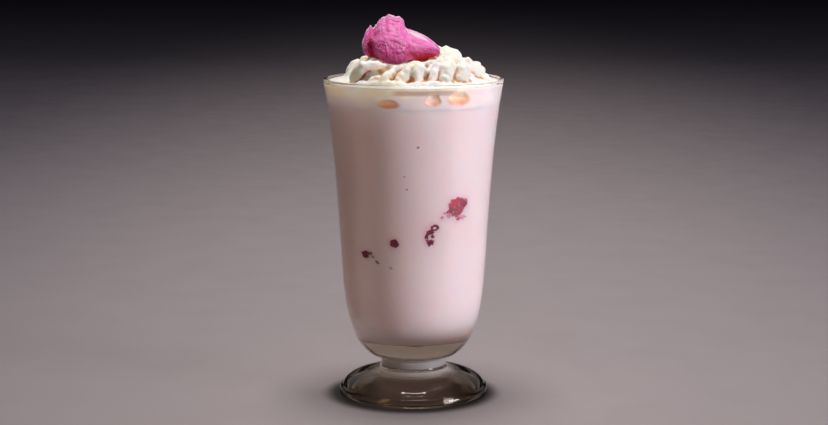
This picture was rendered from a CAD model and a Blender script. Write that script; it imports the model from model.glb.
"""The looks of a rose milkshake: a clear footed glass, pink milk, piped cream and one crumpled rose petal.

Sizes are in millimetres and become metres where a mesh is made. +Z is up, the origin is the centre of the
foot's underside and -Y is the side that shows the petal. Azimuths are degrees from -Y towards +X.
"""

from __future__ import annotations

import logging
import math
import random
from dataclasses import dataclass
from enum import Enum
from typing import Any, Sequence

import bmesh
import bpy
import numpy as np
from mathutils import Matrix, Vector, noise

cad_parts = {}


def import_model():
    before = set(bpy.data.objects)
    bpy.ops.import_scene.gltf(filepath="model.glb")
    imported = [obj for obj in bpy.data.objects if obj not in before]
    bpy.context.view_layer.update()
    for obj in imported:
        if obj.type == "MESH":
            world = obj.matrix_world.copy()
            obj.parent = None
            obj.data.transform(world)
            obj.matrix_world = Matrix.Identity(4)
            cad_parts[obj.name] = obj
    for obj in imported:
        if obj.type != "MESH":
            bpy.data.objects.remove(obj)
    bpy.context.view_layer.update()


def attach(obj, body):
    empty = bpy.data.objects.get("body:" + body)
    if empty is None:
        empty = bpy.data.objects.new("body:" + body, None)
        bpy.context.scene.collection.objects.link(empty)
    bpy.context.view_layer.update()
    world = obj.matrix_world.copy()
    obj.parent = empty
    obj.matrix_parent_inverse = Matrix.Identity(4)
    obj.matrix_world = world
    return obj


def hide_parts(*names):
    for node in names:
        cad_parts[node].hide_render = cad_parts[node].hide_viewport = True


LOG = logging.getLogger("rose_milkshake")
MM = 0.001

Point2 = tuple[float, float]
Point3 = tuple[float, float, float]
Colour = tuple[float, float, float]


# ---- curves and meshes ----------------------------------------------------------------------------------
def bezier(points: Sequence[Point2], steps: int) -> list[Point2]:
    """Points of a cubic Bezier curve, the first left out.

    Args:
        points: The four control points.
        steps: How many points to make.

    Returns:
        The points, from just after the first control point to the last one.
    """
    made = []
    for i in range(1, steps + 1):
        t = i / steps
        weights = ((1 - t) ** 3, 3 * t * (1 - t) ** 2, 3 * t * t * (1 - t), t ** 3)
        made.append(tuple(sum(w * p[k] for w, p in zip(weights, points)) for k in (0, 1)))
    return made


def arc(centre: Point2, radii: Point2, start_deg: float, end_deg: float, steps: int) -> list[Point2]:
    """Points of an elliptical arc, both ends included.

    Args:
        centre: The ellipse's centre.
        radii: Its half axes.
        start_deg: Where the arc starts.
        end_deg: Where it ends.
        steps: How many stretches it has.

    Returns:
        The points in order.
    """
    angles = (math.radians(start_deg + (end_deg - start_deg) * i / steps) for i in range(steps + 1))
    return [(centre[0] + radii[0] * math.cos(a), centre[1] + radii[1] * math.sin(a)) for a in angles]


def spline(points: Sequence[Sequence[float]], t: float) -> tuple[float, ...]:
    """A point of the Catmull-Rom curve through some points.

    Args:
        points: The points it passes through.
        t: The place along it, 0 at the first point and 1 at the last.

    Returns:
        The point's coordinates.
    """
    place = min(max(t, 0.0), 1.0) * (len(points) - 1)
    i = min(int(place), len(points) - 2)
    f = place - i
    a, b, c, d = (points[min(max(k, 0), len(points) - 1)] for k in (i - 1, i, i + 1, i + 2))
    return tuple(
        0.5 * (2 * q + (r - p) * f + (2 * p - 5 * q + 4 * r - s) * f * f + (3 * q - p - 3 * r + s) * f ** 3)
        for p, q, r, s in zip(a, b, c, d))


def smoothstep(low: float, high: float, values: Any) -> Any:
    """A soft step from 0 at low to 1 at high, for one value or an array."""
    t = np.clip((np.asarray(values, dtype=float) - low) / (high - low), 0.0, 1.0)
    return t * t * (3.0 - 2.0 * t)


def bell(values: Any, middle: Any, width: float, power: int = 2) -> Any:
    """A round bump that is 1 at its middle, for one value or an array."""
    return np.exp(-((values - middle) / width) ** power)


def outward(azimuth: float) -> Vector:
    """The level unit vector that points away from the axis at an azimuth."""
    angle = math.radians(azimuth - 90.0)
    return Vector((math.cos(angle), math.sin(angle), 0.0))


def azimuths_of(points: np.ndarray) -> np.ndarray:
    """The azimuth of each row of x, y and z, from -180 to 180."""
    return np.degrees(np.arctan2(points[:, 0], -points[:, 1]))


def turned_from(azimuths: np.ndarray, start: float) -> np.ndarray:
    """How far azimuths lie from another one, in radians."""
    return np.radians((azimuths - start + 180.0) % 360.0 - 180.0)


def bridge(mesh: bmesh.types.BMesh, near: Sequence[bmesh.types.BMVert], far: Sequence[bmesh.types.BMVert]) -> None:
    """Joins two closed rings, each of as many vertices, with faces.

    Args:
        mesh: The mesh that takes the faces.
        near: The first ring.
        far: The second ring.
    """
    for j in range(len(near)):
        k = (j + 1) % len(near)
        mesh.faces.new((near[j], near[k], far[k], far[j]))


def piece_from(name: str, mesh: bmesh.types.BMesh, sharp_deg: float = 60.0) -> bpy.types.Object:
    """Turns a bmesh into a smooth-shaded object of the scene.

    Args:
        name: The object's name.
        mesh: The bmesh in metres, which is freed.
        sharp_deg: Edges that turn by more than this stay sharp.

    Returns:
        The new object.
    """
    data = bpy.data.meshes.new(name)
    mesh.to_mesh(data)
    mesh.free()
    data.shade_smooth()
    data.set_sharp_from_angle(angle=math.radians(sharp_deg))
    made = bpy.data.objects.new(name, data)
    bpy.context.scene.collection.objects.link(made)
    return made


def turned(name: str, outline: Sequence[Point2], segments: int, sharp_deg: float = 60.0) -> bpy.types.Object:
    """A solid of revolution about +Z.

    Args:
        name: The object's name.
        outline: The closed section in millimetres, whose ends lie on the axis.
        segments: How many segments go round.
        sharp_deg: Edges that turn by more than this stay sharp.

    Returns:
        The new object.
    """
    mesh = bmesh.new()
    points = [mesh.verts.new((r * MM, 0.0, z * MM)) for r, z in outline]
    edges = [mesh.edges.new(pair) for pair in zip(points, points[1:])]
    bmesh.ops.spin(mesh, geom=points + edges, cent=(0, 0, 0), axis=(0, 0, 1), angle=2 * math.pi,
                   steps=segments, use_merge=True)
    bmesh.ops.remove_doubles(mesh, verts=mesh.verts, dist=1e-6)
    bmesh.ops.recalc_face_normals(mesh, faces=mesh.faces)
    return piece_from(name, mesh, sharp_deg)


def applied(piece: bpy.types.Object) -> bpy.types.Object:
    """Bakes an object's modifiers into its mesh and returns the object.

    Args:
        piece: The object.

    Returns:
        The same object.
    """
    data = bpy.data.meshes.new_from_object(piece.evaluated_get(bpy.context.evaluated_depsgraph_get()))
    piece.modifiers.clear()
    piece.data = data
    return piece


def cut(piece: bpy.types.Object, cutter: bpy.types.Object) -> None:
    """Takes one solid away from another and removes the cutter.

    Args:
        piece: The solid that is cut.
        cutter: The solid that is taken away.
    """
    take = piece.modifiers.new("cut", "BOOLEAN")
    take.operation = "DIFFERENCE"
    take.solver = "MANIFOLD"
    take.object = cutter
    applied(piece)
    bpy.data.objects.remove(cutter)


def points_of(piece: bpy.types.Object) -> np.ndarray:
    """An object's vertices as rows of x, y and z in millimetres.

    Args:
        piece: The object.

    Returns:
        The rows, in the mesh's order.
    """
    flat = np.empty(len(piece.data.vertices) * 3, dtype=np.float32)
    piece.data.vertices.foreach_get("co", flat)
    return flat.reshape(-1, 3).astype(float) / MM


def move_points(piece: bpy.types.Object, points: np.ndarray) -> None:
    """Moves an object's vertices to rows of x, y and z in millimetres."""
    piece.data.vertices.foreach_set("co", (points * MM).astype(np.float32).ravel())
    piece.data.update()


def normals_of(piece: bpy.types.Object) -> np.ndarray:
    """An object's vertex normals as rows.

    Args:
        piece: The object.

    Returns:
        The rows, in the mesh's order.
    """
    flat = np.empty(len(piece.data.vertices) * 3, dtype=np.float32)
    piece.data.vertices.foreach_get("normal", flat)
    return flat.reshape(-1, 3).astype(float)


def store(piece: bpy.types.Object, name: str, values: np.ndarray) -> None:
    """Keeps one number for each vertex, for a finish to read by name."""
    layer = piece.data.attributes.new(name, "FLOAT", "POINT")
    layer.data.foreach_set("value", np.asarray(values, dtype=np.float32))


def dress(piece: bpy.types.Object, material: bpy.types.Material, slot: str, *nodes: str) -> None:
    """Gives a piece its finish and its place in the frame.

    Args:
        piece: The piece.
        material: Its only material.
        slot: The record's material slot it takes its finish from.
        nodes: The plain solids it stands for.
    """
    piece.data.materials.clear()
    piece.data.materials.append(material)
    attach(piece, "root")
    if nodes:
        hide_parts(*nodes)


def noise_at(points: np.ndarray, scale: float, shift: float = 0.0) -> np.ndarray:
    """Smooth noise from -1 to 1 at rows of points in millimetres."""
    return np.array([noise.noise(Vector((x * scale + shift, y * scale, z * scale))) for x, y, z in points])


# ---- finishes -------------------------------------------------------------------------------------------
class NodeSheet:
    """Writes a material's node tree, one call for each node."""

    def __init__(self, name: str) -> None:
        """Starts an empty material of this name.

        Args:
            name: The material's name.
        """
        self.material = bpy.data.materials.new(name)
        self.material.use_nodes = True
        self.tree = self.material.node_tree
        self.tree.nodes.clear()

    def add(self, kind: str, inputs: dict[str | int, Any] | None = None, **settings: Any) -> bpy.types.Node:
        """Adds a node.

        Args:
            kind: The node's type without its ShaderNode prefix.
            inputs: Socket names or numbers, each with a constant or the output that feeds it.
            settings: Settings of the node itself.

        Returns:
            The new node.
        """
        node = self.tree.nodes.new("ShaderNode" + kind)
        for name, value in settings.items():
            setattr(node, name, value)
        for key, value in (inputs or {}).items():
            if isinstance(value, bpy.types.NodeSocket):
                self.tree.links.new(value, node.inputs[key])
            else:
                node.inputs[key].default_value = value
        return node

    def place(self) -> bpy.types.NodeSocket:
        """The point's place on the object, in metres."""
        return self.add("TexCoord").outputs["Object"]

    def stored(self, name: str) -> bpy.types.NodeSocket:
        """A number that the mesh keeps for each vertex."""
        return self.add("Attribute", attribute_name=name, attribute_type="GEOMETRY").outputs["Fac"]

    def grain(self, scale: float, detail: float = 3.0, roughness: float = 0.5) -> bpy.types.NodeSocket:
        """Noise from 0 to 1 over the object's own space."""
        inputs = {"Vector": self.place(), "Scale": scale, "Detail": detail, "Roughness": roughness}
        return self.add("TexNoise", inputs).outputs["Fac"]

    def uneven(self, scale: float, low: float, high: float) -> bpy.types.NodeSocket:
        """A number that wanders between two values over the surface."""
        return self.between(self.grain(scale), 0.3, 0.7, low, high)

    def sum(self, a: Any, b: Any) -> bpy.types.NodeSocket:
        """Adds two numbers."""
        return self.add("Math", {0: a, 1: b}, operation="ADD").outputs[0]

    def times(self, a: Any, b: Any) -> bpy.types.NodeSocket:
        """Multiplies two numbers."""
        return self.add("Math", {0: a, 1: b}, operation="MULTIPLY").outputs[0]

    def between(self, value: Any, low: float, high: float, start: float = 0.0,
                end: float = 1.0) -> bpy.types.NodeSocket:
        """Maps low..high softly to start..end.

        Args:
            value: The number to map.
            low: Where the result leaves start.
            high: Where it reaches end.
            start: The result below low.
            end: The result above high.

        Returns:
            The mapped number.
        """
        inputs = {"Value": value, "From Min": low, "From Max": high, "To Min": start, "To Max": end}
        return self.add("MapRange", inputs, interpolation_type="SMOOTHSTEP").outputs["Result"]

    def mixed(self, share: Any, a: Any, b: Any, way: str = "MIX") -> bpy.types.NodeSocket:
        """Mixes two colours.

        Args:
            share: How much of the second there is.
            a: The first colour or the output that gives it.
            b: The second one.
            way: The mixing mode.

        Returns:
            The mixed colour.
        """
        a, b = ((*c, 1.0) if isinstance(c, tuple) and len(c) == 3 else c for c in (a, b))
        return self.add("Mix", {0: share, 6: a, 7: b}, data_type="RGBA", blend_type=way).outputs[2]

    def banded(self, value: Any, stops: Sequence[tuple[float, Colour]]) -> bpy.types.NodeSocket:
        """A colour that runs from stop to stop as the value grows.

        Args:
            value: The number, from 0 to 1.
            stops: Values and the colours there, in rising order.

        Returns:
            The colour.
        """
        ramp = self.add("ValToRGB", {"Fac": value})
        bands = ramp.color_ramp.elements
        bands.remove(bands[1])
        bands[0].position = stops[0][0]
        for place, colour in stops:
            band = bands[0] if place == stops[0][0] else bands.new(place)
            band.color = (*colour, 1.0)
        return ramp.outputs["Color"]

    def raised(self, height: Any, depth: float, under: Any = None) -> bpy.types.NodeSocket:
        """Bump from a height, in metres of relief, over another bump if one is given.

        Args:
            height: The height, from 0 to 1.
            depth: How much relief that is, in metres.
            under: The bump it lies over, if any.

        Returns:
            The bumped normal.
        """
        inputs = {"Height": height, "Distance": depth, "Strength": 1.0}
        if under is not None:
            inputs["Normal"] = under
        return self.add("Bump", inputs).outputs["Normal"]

    def finished(self, surface: bpy.types.NodeSocket,
                 volume: bpy.types.NodeSocket | None = None) -> bpy.types.Material:
        """Joins the shaders to the material's output and returns the material.

        Args:
            surface: The surface's shader.
            volume: The volume's shader, if any.

        Returns:
            The material.
        """
        inputs = {"Surface": surface}
        if volume is not None:
            inputs["Volume"] = volume
        self.add("OutputMaterial", inputs)
        return self.material


def srgb(red: float, green: float, blue: float) -> Colour:
    """A colour given as 0-255 on screen, as linear light."""
    return tuple(c / 12.92 if c <= 0.04045 else ((c + 0.055) / 1.055) ** 2.4
                 for c in (red / 255.0, green / 255.0, blue / 255.0))


@dataclass(frozen=True)
class PressedGlass:
    """Clear pressed glass with a slow waviness, smoky in the thick foot and under the bowl.

    The tints and the clarity are pairs of a height in millimetres and the value there, from the foot up over the
    neck and the bowl's thick floor to the lip. The spans are in metres.
    """

    name: str = "clear_glass"
    ior: float = 1.5
    roughness: Point2 = (0.004, 0.024)
    body: Colour = (0.72, 0.62, 0.46)
    density: float = 8.0
    let_through: Colour = (0.88, 0.87, 0.85)
    foot_lets_through: Colour = (0.3, 0.27, 0.24)
    foot_span: Point2 = (0.003, 0.0125)
    height: float = 160.0
    tints: tuple[tuple[float, Colour], ...] = (
        (0.0, (0.62, 0.54, 0.45)), (1.4, (0.62, 0.54, 0.45)), (2.4, (0.74, 0.65, 0.56)),
        (11.4, (0.74, 0.65, 0.56)), (12.0, (1.0, 0.97, 0.93)), (13.2, (1.0, 0.97, 0.93)),
        (13.7, (0.3, 0.25, 0.2)), (14.5, (0.3, 0.25, 0.2)), (15.1, (1.0, 0.97, 0.96)),
        (18.5, (1.0, 0.97, 0.96)), (19.1, (0.16, 0.13, 0.11)), (20.2, (0.36, 0.3, 0.25)),
        (21.4, (0.62, 0.53, 0.45)), (22.4, (0.4, 0.33, 0.28)), (23.8, (0.6, 0.51, 0.44)),
        (25.4, (0.48, 0.4, 0.34)), (29.4, (0.42, 0.35, 0.29)), (30.6, (1.0, 0.93, 0.86)),
        (31.6, (0.97, 0.92, 0.87)), (34.0, (1.0, 1.0, 1.0)), (157.8, (1.0, 1.0, 1.0)),
        (158.1, (0.66, 0.62, 0.57)), (158.4, (0.66, 0.62, 0.57)), (158.7, (0.96, 0.95, 0.94)),
    )
    clarity: tuple[tuple[float, float], ...] = (
        (0.0, 1.0), (11.6, 1.0), (12.2, 0.35), (13.2, 0.35), (13.6, 0.9), (14.4, 0.9), (14.9, 0.6), (18.2, 0.6),
        (18.8, 1.0),
    )
    smoke: Colour = (0.26, 0.21, 0.14)
    smoke_share: float = 0.8
    smoke_aside: Point2 = (0.014, 0.028)
    smoke_top: Point2 = (0.0115, 0.0135)
    wave_scale: float = 55.0
    wave_depth: float = 0.00012
    smear_scale: float = 90.0

    def material(self) -> bpy.types.Material:
        """Builds the material.

        Returns:
            The finished material.
        """
        sheet = NodeSheet(self.name)
        wave = sheet.raised(sheet.grain(self.wave_scale, 1.5), self.wave_depth)
        smear = sheet.between(sheet.grain(self.smear_scale, 4.0), 0.35, 0.75, *self.roughness)
        place = sheet.add("SeparateXYZ", {0: sheet.place()}).outputs
        share = sheet.times(place["Z"], 1.0 / (self.height * MM))
        tint = sheet.banded(share, [(z / self.height, colour) for z, colour in self.tints])
        clear = sheet.banded(share, [(z / self.height, (grey, grey, grey)) for z, grey in self.clarity])
        aside = sheet.add("Math", {0: place["X"]}, operation="ABSOLUTE").outputs[0]
        low = sheet.between(place["Z"], *self.smoke_top, 1.0, 0.0)
        smoky = sheet.times(sheet.between(aside, *self.smoke_aside, 0.0, self.smoke_share), low)
        cleared = sheet.mixed(sheet.between(place["Z"], *self.foot_span), self.foot_lets_through, self.let_through)
        glass = sheet.add("BsdfPrincipled", {
            "Base Color": sheet.mixed(smoky, tint, self.smoke), "Roughness": smear, "IOR": self.ior,
            "Transmission Weight": clear, "Normal": wave})
        lamp = sheet.add("BsdfTransparent", {"Color": cleared})
        shadow = sheet.add("LightPath").outputs["Is Shadow Ray"]
        both = sheet.add("MixShader", {0: shadow, 1: glass.outputs[0], 2: lamp.outputs[0]})
        body = sheet.add("VolumeAbsorption", {"Color": (*self.body, 1.0), "Density": self.density})
        return sheet.finished(both.outputs[0], body.outputs[0])


@dataclass(frozen=True)
class PinkMilk:
    """Opaque pink milk, mottled where the rose is less stirred in, paler where froth meets the glass.

    Light reaches deeper into it low down, over the foot span in metres, where the bowl narrows.
    """

    name: str = "pink_milk"
    milk: Colour = srgb(246, 231, 234)
    rosy: Colour = srgb(245, 226, 230)
    froth: Colour = srgb(254, 250, 250)
    stain: Colour = srgb(236, 178, 198)
    ior: float = 1.35
    roughness: Point2 = (0.32, 0.45)
    radius: Point3 = (1.0, 0.62, 0.48)
    depth: float = 0.002
    foot_depth: float = 0.014
    foot_span: Point2 = (0.030, 0.050)

    def material(self) -> bpy.types.Material:
        """Builds the material.

        Returns:
            The finished material.
        """
        sheet = NodeSheet(self.name)
        mottled = sheet.mixed(sheet.between(sheet.grain(38.0, 4.0), 0.35, 0.7), self.milk, self.rosy)
        stained = sheet.mixed(sheet.stored("stain"), mottled, self.stain)
        colour = sheet.mixed(sheet.stored("froth"), stained, self.froth)
        ripple = sheet.raised(sheet.grain(420.0, 3.0), 0.00003)
        height = sheet.add("SeparateXYZ", {0: sheet.place()}).outputs["Z"]
        depth = sheet.between(height, *self.foot_span, self.foot_depth, self.depth)
        milk = sheet.add("BsdfPrincipled", {
            "Base Color": colour, "Roughness": sheet.uneven(160.0, *self.roughness), "IOR": self.ior,
            "Subsurface Weight": 1.0, "Subsurface Radius": self.radius, "Subsurface Scale": depth,
            "Normal": ripple})
        return sheet.finished(milk.outputs[0])


@dataclass(frozen=True)
class PipedCream:
    """Whipped cream: warm white, tan in its creases and in the shade under the rim, orange in the pockets.

    It is pinker where it meets the milk. Light reaches deepest where it glows against the glass, and least where it
    is soaked.
    """

    name: str = "piped_cream"
    cream: Colour = srgb(252, 242, 228)
    pearl: Colour = srgb(255, 248, 243)
    crease: Colour = srgb(228, 184, 138)
    shade: Colour = srgb(206, 182, 168)
    pocket_top: Colour = srgb(252, 212, 176)
    pocket_low: Colour = srgb(228, 142, 84)
    milky: Colour = srgb(247, 233, 236)
    pink: Colour = srgb(246, 190, 208)
    ior: float = 1.38
    roughness: Point2 = (0.38, 0.55)
    radius: Point3 = (1.0, 0.68, 0.48)
    depth: float = 0.003
    soaked_depth: float = 0.002
    glowing_depth: float = 0.009

    def material(self) -> bpy.types.Material:
        """Builds the material.

        Returns:
            The finished material.
        """
        sheet = NodeSheet(self.name)
        body = sheet.mixed(sheet.between(sheet.grain(60.0, 3.0), 0.35, 0.65), self.cream, self.pearl)
        creased = sheet.mixed(sheet.between(sheet.stored("crease"), 0.06, 0.8, 0.0, 0.95), body, self.crease)
        blushed = sheet.mixed(sheet.stored("blush"), creased, self.pink)
        milked = sheet.mixed(sheet.stored("soak"), blushed, self.milky)
        soaked = sheet.mixed(sheet.stored("shade"), milked, self.shade)
        hollow = sheet.mixed(sheet.stored("pocket_low"), self.pocket_top, self.pocket_low)
        colour = sheet.mixed(sheet.stored("pocket"), soaked, hollow)
        free_depth = sheet.between(sheet.stored("glow"), 0.0, 1.0, self.depth, self.glowing_depth)
        dulled = sheet.times(sheet.stored("soak"), self.soaked_depth - self.depth)
        fine = sheet.raised(sheet.grain(1500.0, 4.0, 0.6), 0.00005)
        soft = sheet.raised(sheet.grain(380.0, 3.0), 0.00016, fine)
        cream = sheet.add("BsdfPrincipled", {
            "Base Color": colour, "Roughness": sheet.uneven(240.0, *self.roughness), "IOR": self.ior,
            "Subsurface Weight": 1.0, "Subsurface Radius": self.radius,
            "Subsurface Scale": sheet.sum(free_depth, dulled), "Normal": soft})
        return sheet.finished(cream.outputs[0])


@dataclass(frozen=True)
class VelvetPetal:
    """A rose petal: velvety bright pink, magenta in its folds, red at the tucked edge, pale at its rim."""

    name: str = "velvet_petal"
    bright: Colour = srgb(247, 104, 190)
    light: Colour = srgb(252, 150, 214)
    fold: Colour = srgb(176, 14, 88)
    tuck: Colour = srgb(196, 0, 26)
    rim: Colour = srgb(255, 226, 242)
    veining: float = 0.55
    ior: float = 1.42
    roughness: Point2 = (0.42, 0.62)
    scatter: float = 0.35
    radius: Point3 = (1.0, 0.25, 0.5)
    depth: float = 0.0012
    sheen: float = 0.45
    sheen_roughness: float = 0.35
    sheen_tint: Colour = (1.0, 0.72, 0.9)
    through: float = 0.18

    def material(self) -> bpy.types.Material:
        """Builds the material.

        Returns:
            The finished material.
        """
        sheet = NodeSheet(self.name)
        cloud = sheet.between(sheet.grain(260.0, 4.0), 0.3, 0.7)
        base = sheet.mixed(cloud, self.bright, self.light)
        veined = sheet.mixed(sheet.times(sheet.stored("vein"), self.veining), base, self.fold)
        folded = sheet.mixed(sheet.stored("fold"), veined, self.fold)
        tucked = sheet.mixed(sheet.stored("tuck"), folded, self.tuck)
        colour = sheet.mixed(sheet.stored("rim"), tucked, self.rim)
        nap = sheet.raised(sheet.grain(3800.0, 3.0), 0.00006)
        petal = sheet.add("BsdfPrincipled", {
            "Base Color": colour, "Roughness": sheet.uneven(900.0, *self.roughness), "IOR": self.ior,
            "Subsurface Weight": self.scatter, "Subsurface Radius": self.radius, "Subsurface Scale": self.depth,
            "Sheen Weight": self.sheen, "Sheen Roughness": self.sheen_roughness,
            "Sheen Tint": (*self.sheen_tint, 1.0), "Normal": nap})
        lit_through = sheet.add("BsdfTranslucent", {"Color": colour})
        both = sheet.add("MixShader", {0: self.through, 1: petal.outputs[0], 2: lit_through.outputs[0]})
        return sheet.finished(both.outputs[0])


@dataclass(frozen=True)
class PressedFruit:
    """A red bit under a veil of milk, which thickens where the bit sinks in."""

    name: str
    flesh: Colour
    dark: Colour
    veil: Colour = srgb(246, 234, 236)
    fraying: float = 0.12
    ior: float = 1.36
    roughness: float = 0.4
    scatter: float = 0.6
    radius: Point3 = (1.0, 0.35, 0.35)
    depth: float = 0.0012

    def material(self) -> bpy.types.Material:
        """Builds the material.

        Returns:
            The finished material.
        """
        sheet = NodeSheet(self.name)
        mottled = sheet.mixed(sheet.between(sheet.grain(650.0, 4.0), 0.35, 0.65), self.flesh, self.dark)
        fray = sheet.between(sheet.grain(900.0, 4.0), 0.2, 0.8, -self.fraying, self.fraying)
        frayed = sheet.sum(sheet.stored("veil"), fray)
        colour = sheet.mixed(sheet.between(frayed, 0.15, 0.85), mottled, self.veil)
        bumps = sheet.raised(sheet.grain(1600.0), 0.00005)
        bit = sheet.add("BsdfPrincipled", {
            "Base Color": colour, "Roughness": self.roughness, "IOR": self.ior, "Subsurface Weight": self.scatter,
            "Subsurface Radius": self.radius, "Subsurface Scale": self.depth, "Normal": bumps})
        return sheet.finished(bit.outputs[0])


@dataclass(frozen=True)
class PaleFloor:
    """A pale matte floor, darker away from the middle and in a ring of contact shade round the foot.

    Its places and spans are in metres.
    """

    name: str = "pale_floor"
    near: Colour = (0.345, 0.302, 0.318)
    far: Colour = (0.1, 0.09, 0.12)
    far_at: float = 1.9
    middle: float = 0.03
    half_width: float = 0.36
    half_depth: float = 2.4
    dust: Colour = (0.3, 0.28, 0.28)
    dusting: float = 0.05
    contact: Colour = (0.03, 0.026, 0.025)
    contact_shift: Point3 = (0.001, 0.0025, 0.0)
    contact_inside: Point2 = (0.031, 0.036)
    contact_outside: Point2 = (0.038, 0.047)
    roughness: Point2 = (0.5, 0.62)
    specular: float = 0.25

    def reach(self, sheet: NodeSheet, shift: Point3, scale: Point3) -> bpy.types.NodeSocket:
        """How far a point lies from a middle, once it is shifted and scaled.

        Args:
            sheet: The material's sheet.
            shift: What is added to the scaled place.
            scale: The scale along each axis.

        Returns:
            The distance.
        """
        moved = sheet.add("Mapping", {"Vector": sheet.place(), "Location": shift, "Scale": scale})
        return sheet.add("VectorMath", {0: moved.outputs[0]}, operation="LENGTH").outputs["Value"]

    def material(self) -> bpy.types.Material:
        """Builds the material.

        Returns:
            The finished material.
        """
        sheet = NodeSheet(self.name)
        away = self.reach(sheet, (-self.middle / self.half_width, 0.0, 0.0),
                          (1.0 / self.half_width, 1.0 / self.half_depth, 0.0))
        shaded = sheet.mixed(sheet.between(away, 0.0, self.far_at), self.near, self.far)
        dusty = sheet.mixed(sheet.between(sheet.grain(9.0, 5.0), 0.3, 0.7, 0.0, self.dusting), shaded, self.dust)
        gap = self.reach(sheet, self.contact_shift, (1.0, 1.0, 1.0))
        outside = sheet.between(gap, *self.contact_outside)
        inside = sheet.between(gap, *self.contact_inside, 1.0, 0.0)
        floor = sheet.add("BsdfPrincipled", {
            "Base Color": sheet.mixed(sheet.sum(outside, inside), self.contact, dusty),
            "Roughness": sheet.uneven(30.0, *self.roughness), "Specular IOR Level": self.specular})
        return sheet.finished(floor.outputs[0])


# ---- the glass ------------------------------------------------------------------------------------------
@dataclass
class FootedGlass:
    """The footed glass: a flared bowl, a short neck and a domed foot with a hollow underneath."""

    height: float = 160.0
    rim_radius: float = 45.0
    lip: float = 2.2
    belly_height: float = 68.0
    belly_radius: float = 36.3
    belly_wall: float = 2.9
    neck_radius: float = 16.2
    neck_top: float = 18.8
    neck_bottom: float = 15.0
    foot_radius: float = 37.6
    foot_edge: float = 4.6
    foot_shoulder: Point2 = (21.0, 12.1)
    ring_inner: float = 31.0
    hollow: float = 9.5
    floor_height: float = 30.5
    segments: int = 192
    steps: int = 30
    finish: PressedGlass = PressedGlass()

    def outer(self, steps: int) -> list[Point2]:
        """The bowl's outer side, from under the rim down to the neck.

        Args:
            steps: Points of each of its two curves.

        Returns:
            The points from the rim down.
        """
        rim = (self.rim_radius, self.height - self.lip / 2)
        belly = (self.belly_radius, self.belly_height)
        side = bezier((rim, (40.5, 134.0), (38.7, 108.0), belly), steps)
        neck = (self.neck_radius, self.neck_top)
        return [rim] + side + bezier((belly, (34.9, 40.5), (30.5, 20.6), neck), steps)

    def inner(self, steps: int, grown: float = 0.0) -> list[Point2]:
        """The bowl's inner side, from the rim down to the middle of its floor.

        Args:
            steps: Points of each of its two curves.
            grown: How far the line is moved out into the wall.

        Returns:
            The points from the rim down.
        """
        rim = (self.rim_radius - self.lip, self.height - self.lip / 2)
        belly = (self.belly_radius - self.belly_wall, self.belly_height)
        side = bezier((rim, (38.1, 134.0), (36.0, 108.0), belly), steps)
        floor = (0.0, self.floor_height)
        turn = bezier((belly, (32.5, 40.0), (32.5, self.floor_height), floor), steps)
        line = [rim] + side + turn
        return [(r + grown if r > 0.0 else 0.0, z - grown * (1.0 - r / rim[0])) for r, z in line]

    def wall_radius(self, height: Any, grown: float = 0.0) -> Any:
        """The inner side's radius at a height, or at each of an array of heights."""
        line = self.inner(60, grown)[::-1]
        return np.interp(height, [z for _, z in line], [r for r, _ in line])

    def section(self) -> list[Point2]:
        """The closed section, from the floor's middle up over the lip and down to the underside.

        Returns:
            The points in order, in millimetres.
        """
        half = self.lip / 2
        lip = arc((self.rim_radius - half, self.height - half), (half, half), 180, 0, 14)
        neck = (self.neck_radius + 0.1, self.neck_bottom)
        fillet = bezier((neck, (16.6, 12.9), (18.5, 12.6), self.foot_shoulder), 14)
        edge_top = (self.foot_radius - 1.4, self.foot_edge)
        dome = bezier((self.foot_shoulder, (28.0, 10.6), (34.0, 9.0), edge_top), 24)
        edge_centre = (self.foot_radius - 1.7, self.foot_edge / 2)
        edge = arc(edge_centre, (1.7, self.foot_edge / 2), 78, -90, 14)
        hollow = arc((0.0, 0.0), (self.ring_inner, self.hollow), 0, 90, 24)
        sides = self.inner(self.steps)[::-1][:-1] + lip + self.outer(self.steps)[1:]
        return sides + [neck] + fillet + dome + edge + hollow

    def build(self) -> bpy.types.Object:
        """Makes the glass and sets it in the place of its plain solid.

        Returns:
            The finished piece.
        """
        piece = turned("footed_glass", self.section(), self.segments, 40.0)
        dress(piece, self.finish.material(), "glass", "glass")
        return piece


# ---- the red bits ---------------------------------------------------------------------------------------
class BitKind(Enum):
    """What a red bit pressed against the glass looks like."""

    BLOTCH = "blotch"
    CLOT = "clot"
    FAINT = "faint"
    SPECK = "speck"


BIT_FINISHES = {
    BitKind.BLOTCH: PressedFruit("rose_blotch", srgb(214, 58, 92), srgb(190, 40, 74)),
    BitKind.CLOT: PressedFruit("rose_clot", srgb(150, 22, 66), srgb(98, 6, 44)),
    BitKind.FAINT: PressedFruit("rose_faint", srgb(226, 150, 176), srgb(214, 128, 160)),
    BitKind.SPECK: PressedFruit("rose_speck", srgb(120, 84, 84), srgb(92, 62, 64)),
}


@dataclass(frozen=True)
class Bit:
    """One red bit: where it lies on the wall, its half sizes, its turn and how ragged its edge is.

    The hole is how open its middle is, and the veil how much milk lies over all of it, both from 0 to 1.
    """

    azimuth: float
    height: float
    half_width: float
    half_height: float
    kind: BitKind
    turn_deg: float = 0.0
    ragged: float = 0.25
    hole: float = 0.0
    veil: float = 0.0


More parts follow.
